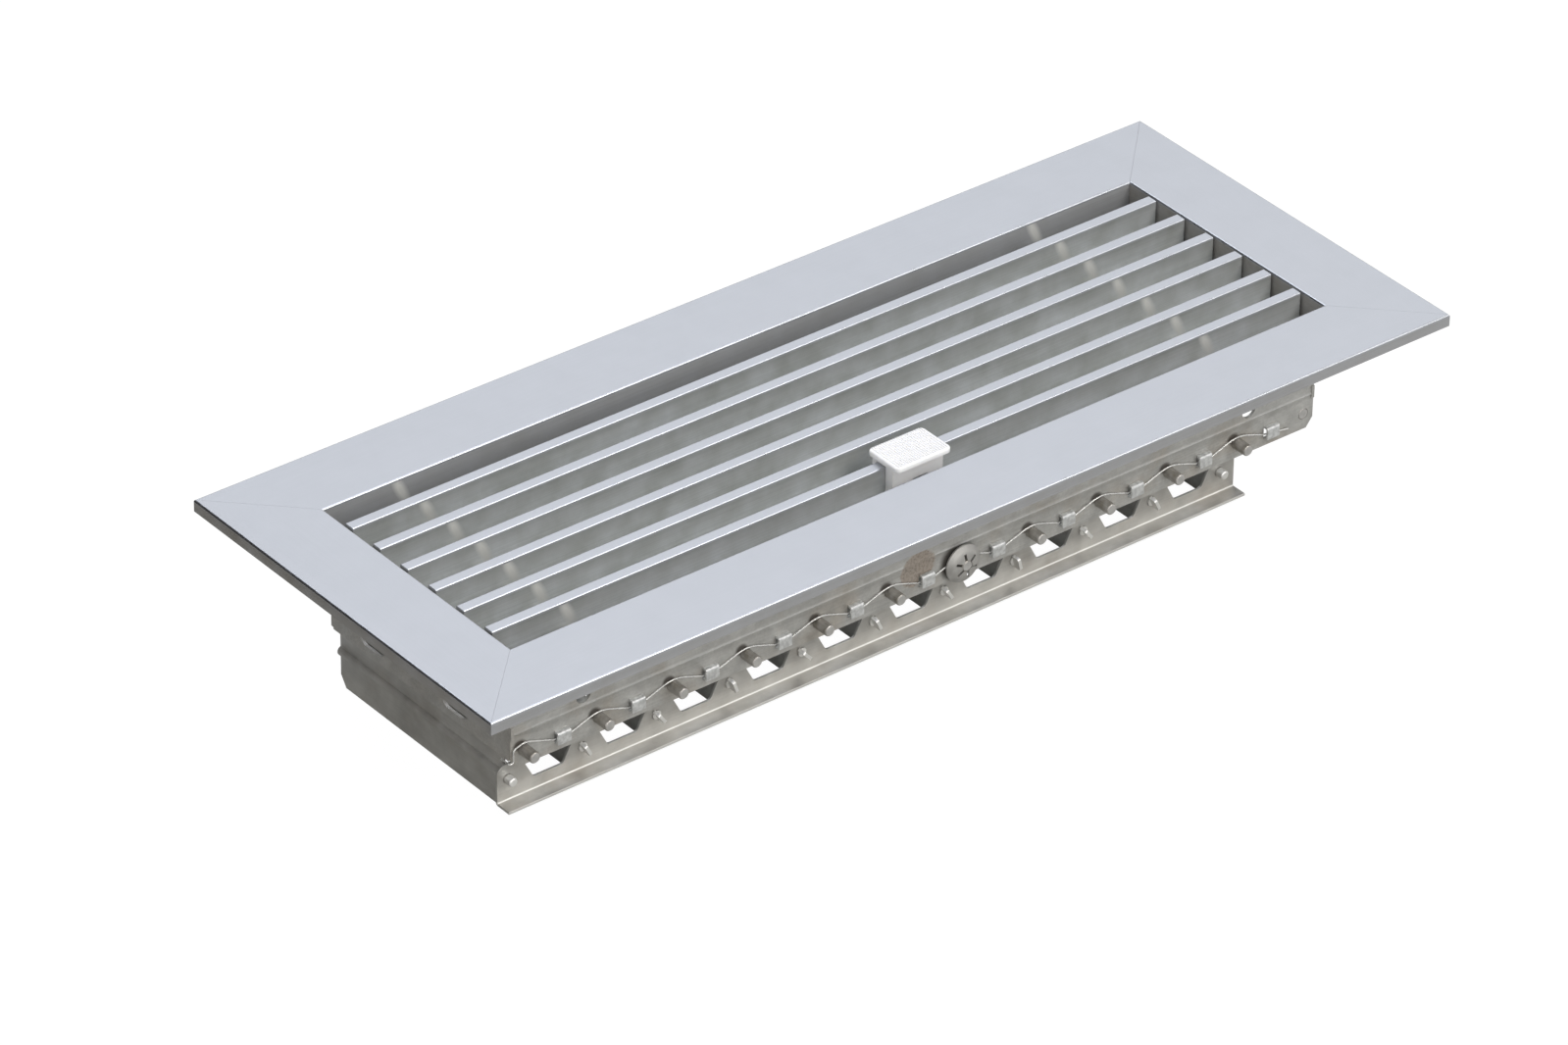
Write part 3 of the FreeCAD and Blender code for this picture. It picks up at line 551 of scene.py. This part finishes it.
def link_highlights(tree, place):
    """Painted highlights on the link bar: along the inside of its bend and on its sheared lower edge."""
    low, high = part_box("link_bar")
    web_y = high.y - LINK_SHEET
    bend = patch(tree, place, (0, web_y, low.z + LINK_SHEET), (10, 0.55 * MM, 0.55 * MM))
    edge = patch(tree, place, (0, low.y, low.z + 0.5 * LINK_SHEET), (10, 0.5 * MM, 0.8 * MM))
    both = add(tree, "Math", bend, edge, operation="MAXIMUM")
    return add(tree, "MapRange", both, 0.2, 0.6, 0.0, 0.7)


def pin_highlights(tree, place):
    """Painted highlight on the flaps: the pins' leaves outside the link bar's web, faint where they face
    -X, away from the light.
    """
    web_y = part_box("link_bar")[1].y - LINK_SHEET
    outward = add(tree, "SeparateXYZ", place).node.outputs["Y"]
    outside = add(tree, "MapRange", outward, web_y - 0.5 * MM, web_y - 0.3 * MM, 1, 0)
    lit_side = add(tree, "MapRange", facing(tree, "X", -1), 0, 1, 0.9, 0.15)
    return add(tree, "Math", outside, lit_side, operation="MULTIPLY")


def mill_aluminium(name, colour, along, roughness=0.4, bright=None):
    """Sheet as it comes from the mill: soft clouds, faint rolling lines one way, and patches of darker
    tone on what lies flat.

    Bright is a function that gives where a near-white highlight is painted on the sheet, from 0 to 1.
    """
    material, tree, shader, place = new_finish(name, colour, 0.6, roughness)
    line = [0.4 * MM] * 3
    line[along] = 30 * MM
    lines = grain(tree, place, line, 2.0)
    cloud = grain(tree, place, [6 * MM] * 3, 4.0)
    # Faces that lie flat are made up to 15 percent darker in patches.
    flat_faces_darker = add(tree, "MapRange", cloud, 0.3, 0.7, 1.0, 0.7)
    flat_faces_darker = add(tree, "Math", facing(tree, "Z", 1), flat_faces_darker, operation="MULTIPLY")
    tone = add(tree, "MapRange", cloud, 0.3, 0.7, 0.84, 1.07)
    tone = layered(tree, tone, (lines, 0.3, 0.7, 0.96, 1.03), (flat_faces_darker, 0, 1, 1.0, 0.85))

    cast = add(tree, "MapRange", grain(tree, place, [9 * MM] * 3, 3.0), 0.5, 0.68, 0.0, 0.4)
    base = add(tree, "Mix", cast, opaque(colour), opaque(hex_colour("#ABA59D")), data_type="RGBA")
    base = add(tree, "VectorMath", base, tone, operation="SCALE")
    # Painted highlights where the bright function says.
    if bright:
        shine = opaque(hex_colour("#F2F2F0"))
        base = add(tree, "Mix", bright(tree, place), base, shine, data_type="RGBA")
    feed(tree, shader, {
        "Base Color": base,
        "Roughness": add(tree, "MapRange", cloud, 0.3, 0.7, roughness - 0.04, roughness + 0.08),
        "Normal": add(tree, "Bump", Height=lines, Distance=0.004 * MM),
    })
    return material


def drawn_steel(name, colour, roughness):
    """Cold-drawn rod: sides painted darker as shade and mottled at random, ends that face -Y painted
    lighter as lit.
    """
    material, tree, shader, place = new_finish(name, colour, 0.6, roughness)
    lines = grain(tree, place, (0.3 * MM, 12 * MM, 0.3 * MM), 2.0)
    film = grain(tree, place, [2.5 * MM] * 3, 3.0)
    thin = add(tree, "MapRange", film, 0.35, 0.65, 0, 1)
    # Painted shade on the sides and painted light on the ends that face -Y.
    dark_side, lighter_side = opaque(hex_colour("#918D85")), opaque(hex_colour("#B3B0AC"))
    side = add(tree, "Mix", thin, dark_side, lighter_side, data_type="RGBA")
    side_tone = add(tree, "MapRange", lines, 0.3, 0.7, 0.86, 1.08)
    side = add(tree, "VectorMath", side, side_tone, operation="SCALE")
    end_tone = add(tree, "MapRange", film, 0.3, 0.7, 0.84, 1.08)
    end = add(tree, "VectorMath", colour, end_tone, operation="SCALE")
    feed(tree, shader, {
        "Base Color": add(tree, "Mix", facing(tree, "Y", -1), side, end, data_type="RGBA"),
        "Normal": add(tree, "Bump", Height=lines, Distance=0.008 * MM),
    })
    return material


def spring_steel(name, colour, metallic, roughness):
    """Hard spring steel with a bright skin, nearly white where it faces a lamp, and faint grey rubs."""
    material, tree, shader, place = new_finish(name, colour, metallic, roughness)
    rubs = grain(tree, place, [2.2 * MM] * 3, 4.0)
    tone = add(tree, "MapRange", rubs, 0.3, 0.7, 0.86, 1.08)
    feed(tree, shader, {
        "Base Color": add(tree, "VectorMath", colour, tone, operation="SCALE"),
        "Roughness": add(tree, "MapRange", rubs, 0.3, 0.7, roughness - 0.03, roughness + 0.08),
    })
    return material


def moulded_plastic(name, colour):
    """White moulded ABS: a soft sheen over a faint spark-eroded grain, and light that bleeds into it."""
    material, tree, shader, place = new_finish(name, colour, 0.0, 0.42)
    shader.inputs["Subsurface Weight"].default_value = 0.5
    shader.inputs["Subsurface Radius"].default_value = (1.0, 0.95, 0.85)
    shader.inputs["Subsurface Scale"].default_value = 3 * MM
    fine = grain(tree, place, [0.18 * MM] * 3, 2.0)
    cloud = grain(tree, place, [5 * MM] * 3, 2.0)
    tone = add(tree, "MapRange", cloud, 0.3, 0.7, 0.98, 1.0)
    feed(tree, shader, {
        "Base Color": add(tree, "VectorMath", colour, tone, operation="SCALE"),
        "Normal": add(tree, "Bump", Height=fine, Distance=0.003 * MM),
    })
    return material


# Operators

def frame_section(sizes, border):
    """Outline of the frame's extrusion as (distance in from the outer edge, depth below the face)."""
    start, width, depth, wall, foot = sizes.key_slot
    end = start + width
    face = sizes.face_thickness
    floor = face + depth
    foot_floor = sizes.lip_height - sizes.slot_above_lip
    collar = face_z - collar_z
    return rounded([
        (0, sizes.lip_height),
        (0, 0, sizes.face_edge_radius),
        (border, 0, sizes.face_edge_radius),
        (border, collar),
        (border - sizes.collar_thickness, collar),
        (border - sizes.collar_thickness, face),
        (end + wall, face),
        (end + wall, foot_floor),
        (end - foot, foot_floor),
        (end - foot, floor),
        (end, floor),
        (end, face),
        (start, face),
        (start, floor),
        (start + foot, floor),
        (start + foot, foot_floor),
        (start - wall, foot_floor),
        (start - wall, face),
        (sizes.lip_thickness, face),
        (sizes.lip_thickness, sizes.lip_height),
    ])


def mitred_rings(section, length, width, mitre_gap):
    """The section at both ends of the side along X on the -Y edge.

    Each point lies as far from the middle as half the length, less the gap's share and less its
    distance in from the outer edge, which cuts both ends at 45 degrees.
    """
    inward, depth = section.T
    reach = length / 2 - mitre_gap / math.sqrt(2) - inward
    ring = np.stack([reach, inward - width / 2, face_z - depth], 1)
    return np.stack([ring, ring * (-1, 1, 1)])


def quarter_turns(rings, count):
    """The rings turned about Z by this many quarter turns."""
    for _ in range(count):
        rings = rings[..., [1, 0, 2]] * (-1, 1, 1)
    return rings


class REGISTER_OT_face_frame(bpy.types.Operator):
    """Sweep the four mitred lengths of the face frame and dress its corner keys"""
    bl_idname = "register.face_frame"
    bl_label = "Face frame"

    def execute(self, context):
        colours = context.scene.floor_register.colours
        sizes = context.scene.floor_register.sizes
        length = frame_high.x - frame_low.x
        width = frame_high.y - frame_low.y
        border = frame_high.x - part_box("frame_right")[0].x
        section, arcs = frame_section(sizes, border)
        round_finish = bright_drawn_round("bright drawn round", colours.anodised)
        # The walls' tones are painted shading, set apart for the lengths along X and along Y.
        finishes = [
            satin_anodised_aluminium(
                "satin anodised aluminium, along X", colours.anodised, 0, (0.93, 1.0), 0.3),
            satin_anodised_aluminium(
                "satin anodised aluminium, along Y", colours.anodised, 1, (0.9, 1.05), 0.8),
        ]
        for k, side in enumerate(("front", "right", "back", "left")):
            span = (length, width) if k % 2 == 0 else (width, length)
            rings = quarter_turns(mitred_rings(section, *span, sizes.mitre_gap), k)
            node = "frame_" + side
            mesh = swept(node, rings, arcs)
            finish = finishes[k % 2]
            piece = placed(node + "_length", mesh, "frame", slot_of[node], finish, round_finish)
            evenly_shaded(piece)
            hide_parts(node)
        keys = [name for name in frame["nodes"] if name.startswith("corner_key_")]
        dress(keys, galvanised_sheet("zinc plated key steel", colours.galvanised))
        return {"FINISHED"}


def bar_rings(node, radius):
    """A flat bar's section at both ends: the rectangle of its box with rounded corners."""
    low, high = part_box(node)
    section, arcs = rounded([
        (low.y, low.z, radius),
        (high.y, low.z, radius),
        (high.y, high.z, radius),
        (low.y, high.z, radius),
    ])
    start = np.insert(section, 0, low.x, 1)
    end = np.insert(section, 0, high.x, 1)
    return np.stack([start, end]), arcs


class REGISTER_OT_bars(bpy.types.Operator):
    """Sweep the fixed bars and dress the cross supports that carry them"""
    bl_idname = "register.bars"
    bl_label = "Bars"

    def execute(self, context):
        colours = context.scene.floor_register.colours
        radius = context.scene.floor_register.sizes.bar_edge_radius
        # Painted light: the bars' walls brighten lower down, to 1.85 times at the bottom of what shows
        # between them.
        finish = satin_anodised_aluminium(
            "satin anodised bar", colours.anodised, 0, (0.9, 1.85), 1.0, "#A6A9A6")
        round_finish = bright_drawn_round("bright drawn bar edge", colours.anodised)
        for node in numbered("bar", bar_count):
            mesh = swept(node, *bar_rings(node, radius))
            piece = placed(node + "_length", mesh, "frame", slot_of[node], finish, round_finish)
            evenly_shaded(piece)
            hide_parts(node)
        support_finish = satin_anodised_aluminium(
            "satin anodised support", colours.anodised, 1, (1.0, 1.0), 1.0)
        dress(SUPPORTS, support_finish)
        return {"FINISHED"}


class REGISTER_OT_damper_box(bpy.types.Operator):
    """Dress the rails, the end plates, the crank, the rivets and the tie rod"""
    bl_idname = "register.damper_box"
    bl_label = "Damper box"

    def execute(self, context):
        colours = context.scene.floor_register.colours
        sizes = context.scene.floor_register.sizes
        edge = sizes.broken_edge
        sheet = galvanised_sheet("galvanised sheet", colours.galvanised)
        near_finish = stained_rail("galvanised sheet, stained, with painted light and shadows", sizes, colours)
        eased("damper_rail_near", edge, near_finish)
        for node in ("damper_rail_far", "end_plate_left", "end_plate_right", "crank"):
            eased(node, edge, sheet)
        dress(("collar_rivets",), mill_aluminium("rivet aluminium", colours.mill, 2))
        dress(("tie_rod",), drawn_steel("drawn steel tie rod", colours.steel, 0.35))
        return {"FINISHED"}


class REGISTER_OT_flaps(bpy.types.Operator):
    """Dress the flaps and the rods that they are rolled on"""
    bl_idname = "register.flaps"
    bl_label = "Flaps"

    def execute(self, context):
        colours = context.scene.floor_register.colours
        edge = context.scene.floor_register.sizes.broken_edge
        sheet = mill_aluminium("mill aluminium flap", colours.mill, 1, bright=pin_highlights)
        steel = drawn_steel("drawn steel rod", colours.steel, 0.38)
        for flap, rod in zip(numbered("flap", flap_count), numbered("flap_rod", flap_count)):
            eased(flap, edge, sheet)
            eased(rod, edge, steel)
        return {"FINISHED"}


class REGISTER_OT_link(bpy.types.Operator):
    """Dress the link bar that joins the flaps"""
    bl_idname = "register.link"
    bl_label = "Link bar"

    def execute(self, context):
        colours = context.scene.floor_register.colours
        edge = context.scene.floor_register.sizes.broken_edge
        finish = mill_aluminium("mill aluminium link", colours.mill, 0, 0.38, link_highlights)
        eased("link_bar", edge, finish)
        return {"FINISHED"}


class REGISTER_OT_spring_parts(bpy.types.Operator):
    """Dress the friction wire, and the push nut with broken edges"""
    bl_idname = "register.spring_parts"
    bl_label = "Wire and nut"

    def execute(self, context):
        colours = context.scene.floor_register.colours
        edge = context.scene.floor_register.sizes.broken_edge
        dress(("friction_wire",), spring_steel("bright spring wire", colours.wire, 0.7, 0.25))
        eased("push_nut", edge, spring_steel("stamped spring steel", colours.nut, 0.55, 0.5))
        return {"FINISHED"}


class REGISTER_OT_knob(bpy.types.Operator):
    """Dress the sliding knob, whose moulded rounds the CAD has"""
    bl_idname = "register.knob"
    bl_label = "Knob"

    def execute(self, context):
        colour = context.scene.floor_register.colours.knob
        dress(("knob",), moulded_plastic("white moulded plastic", colour))
        return {"FINISHED"}


# Stage

CAMERA_AZIMUTH = 38.656
CAMERA_ELEVATION = 33.143
CAMERA_ROLL = math.radians(0.779)
CAMERA_DISTANCE = 2.37824
CAMERA_AIM = Vector((-0.048046, -0.0387, 0.0))
CAMERA_LENS = 199.477
CAMERA_SENSOR = 36.0
FLOOR_SIZE = 12.0
FLOOR_WHITE = 1.15
FLOOR_WHITE_SHARE = 0.85
WORLD_FILL = 0.5
LAMP_DISTANCE = 3.0
COOL_WHITE = "#EAF0FF"
WARM_WHITE = "#FFFBF6"
# X and Y of the lying card's opposite corners and of the standing card's ends
LYING_CARD = (-0.80, -0.05), (-0.165, 0.85)
STANDING_CARD = (-0.80, 0.05), (-0.05, 0.85)
CARD_LOW = 0.5 * MM
CARD_HIGH = 1.1


def direction(azimuth, elevation):
    """The unit vector at this azimuth, from +Y towards +X, and this elevation, both in degrees."""
    a = math.radians(azimuth)
    e = math.radians(elevation)
    return Vector((math.sin(a) * math.cos(e), math.cos(a) * math.cos(e), math.sin(e)))


def photo_camera():
    """A long lens from the front left, looking 33 degrees down, with a slight roll."""
    forward = direction(CAMERA_AZIMUTH, -CAMERA_ELEVATION)
    level = forward.cross(Vector((0, 0, 1))).normalized()
    upright = level.cross(forward)
    right = level * math.cos(CAMERA_ROLL) + upright * math.sin(CAMERA_ROLL)
    up = right.cross(forward)
    data = bpy.data.cameras.new("camera")
    data.lens = CAMERA_LENS
    data.sensor_width = CAMERA_SENSOR
    data.clip_start = 0.1
    data.clip_end = 50.0
    camera = bpy.data.objects.new("camera", data)
    bpy.context.collection.objects.link(camera)
    aim = CAMERA_AIM + Vector((0, 0, face_z))
    turn = Matrix((right, up, -forward)).transposed().to_4x4()
    camera.matrix_world = Matrix.Translation(aim - forward * CAMERA_DISTANCE) @ turn
    bpy.context.scene.camera = camera


def soft_lamp(name, azimuth, elevation, size, strength, colour):
    """A round lamp that faces the object, of this diameter and at this azimuth and elevation.

    Strength is what it adds to a white surface that faces it.
    """
    data = bpy.data.lights.new(name, "AREA")
    data.shape = "DISK"
    data.size = size
    data.color = hex_colour(colour)
    data.energy = strength * (math.pi * LAMP_DISTANCE) ** 2
    lamp = bpy.data.objects.new(name, data)
    bpy.context.collection.objects.link(lamp)
    toward = direction(azimuth, elevation)
    lamp.location = toward * LAMP_DISTANCE
    lamp.rotation_mode = "QUATERNION"
    lamp.rotation_quaternion = toward.to_track_quat("Z", "Y")


def white_world():
    """White to the camera and in reflections; its fill light is dimmer than that."""
    world = bpy.data.worlds.new("white studio")
    bpy.context.scene.world = world
    world.use_nodes = True
    tree = world.node_tree
    path = add(tree, "LightPath").node.outputs
    seen = add(tree, "Math", path["Is Camera Ray"], path["Is Glossy Ray"], operation="MAXIMUM")
    seen = add(tree, "Math", seen, path["Is Transmission Ray"], operation="MAXIMUM")
    strength = add(tree, "MapRange", seen, 0, 1, WORLD_FILL, 1)
    background = tree.nodes["Background"]
    background.inputs["Color"].default_value = (1, 1, 1, 1)
    feed(tree, background, {"Strength": strength})


def pale_floor():
    """A pale matt floor that the camera sees as white, with a faint shadow of the object."""
    half = FLOOR_SIZE / 2
    corners = [(-half, -half, 0), (half, -half, 0), (half, half, 0), (-half, half, 0)]
    mesh = bpy.data.meshes.new("floor")
    mesh.from_pydata(corners, [], [(0, 1, 2, 3)])
    floor = bpy.data.objects.new("floor", mesh)
    bpy.context.collection.objects.link(floor)
    material, tree, shader, _ = new_finish("pale matt floor", hex_colour("#AFAFAC"), 0.0, 0.9)
    camera_ray = add(tree, "LightPath").node.outputs["Is Camera Ray"]
    white = add(tree, "Emission", (1, 1, 1, 1), FLOOR_WHITE)
    factor = add(tree, "Math", camera_ray, FLOOR_WHITE_SHARE, operation="MULTIPLY")
    mix = add(tree, "MixShader", factor, shader.outputs["BSDF"], white)
    feed(tree, tree.nodes["Material Output"], {"Surface": mix})
    mesh.materials.append(material)


def shade_cards():
    """Two dark cards behind the left end, seen only in what the metal reflects.

    One lies just above the floor. The other stands on a slant over it, from its left edge to
    behind the part's middle.
    """
    (left, front), (right, back) = LYING_CARD
    start, end = STANDING_CARD
    outline = [(left, front), (right, front), (right, back), (left, back)]
    corners = [(x, y, CARD_LOW) for x, y in outline]
    corners += [(*start, CARD_LOW), (*end, CARD_LOW), (*end, CARD_HIGH), (*start, CARD_HIGH)]
    mesh = bpy.data.meshes.new("shade card")
    mesh.from_pydata(corners, [], [(0, 1, 2, 3), (4, 5, 6, 7)])
    card = bpy.data.objects.new("shade_card", mesh)
    bpy.context.collection.objects.link(card)
    material, _, _, _ = new_finish("dark card", hex_colour("#3C3A38"), 0.0, 0.9)
    mesh.materials.append(material)
    card.visible_camera = False
    card.visible_diffuse = False
    card.visible_shadow = False


class REGISTER_OT_stage(bpy.types.Operator):
    """Make the camera, the lamps, the white world, the pale floor and the dark cards"""
    bl_idname = "register.stage"
    bl_label = "Stage"

    def execute(self, context):
        context.scene.view_settings.view_transform = "Standard"
        photo_camera()
        white_world()
        pale_floor()
        shade_cards()
        soft_lamp("top softbox", 25, 68, 2.2, 0.42, COOL_WHITE)
        soft_lamp("key softbox", 152, 45, 1.4, 0.42, WARM_WHITE)
        soft_lamp("front softbox", 195, 22, 1.4, 0.20, WARM_WHITE)
        soft_lamp("left fill", 255, 18, 1.4, 0.07, WARM_WHITE)
        return {"FINISHED"}


class REGISTER_PT_sidebar(bpy.types.Panel):
    """The register's operators and settings in the sidebar"""
    bl_idname = "REGISTER_PT_sidebar"
    bl_label = "Floor register"
    bl_space_type = "VIEW_3D"
    bl_region_type = "UI"
    bl_category = "Register"

    def draw(self, context):
        settings = context.scene.floor_register
        for group in (settings.sizes, settings.colours):
            box = self.layout.box()
            for name in group.__annotations__:
                box.prop(group, name)
        for operator in OPERATORS:
            self.layout.operator(operator.bl_idname)


OPERATORS = (
    REGISTER_OT_face_frame,
    REGISTER_OT_bars,
    REGISTER_OT_damper_box,
    REGISTER_OT_flaps,
    REGISTER_OT_link,
    REGISTER_OT_spring_parts,
    REGISTER_OT_knob,
    REGISTER_OT_stage,
)
CLASSES = (RegisterSizes, RegisterColours, RegisterSettings, *OPERATORS, REGISTER_PT_sidebar)


def register():
    for item in CLASSES:
        bpy.utils.register_class(item)
    bpy.types.Scene.floor_register = PointerProperty(type=RegisterSettings)


def unregister():
    del bpy.types.Scene.floor_register
    for item in reversed(CLASSES):
        bpy.utils.unregister_class(item)


def main():
    register()
    bpy.ops.register.face_frame()
    bpy.ops.register.bars()
    bpy.ops.register.damper_box()
    bpy.ops.register.flaps()
    bpy.ops.register.link()
    bpy.ops.register.spring_parts()
    bpy.ops.register.knob()
    bpy.ops.register.stage()


if __name__ == "__main__":
    main()
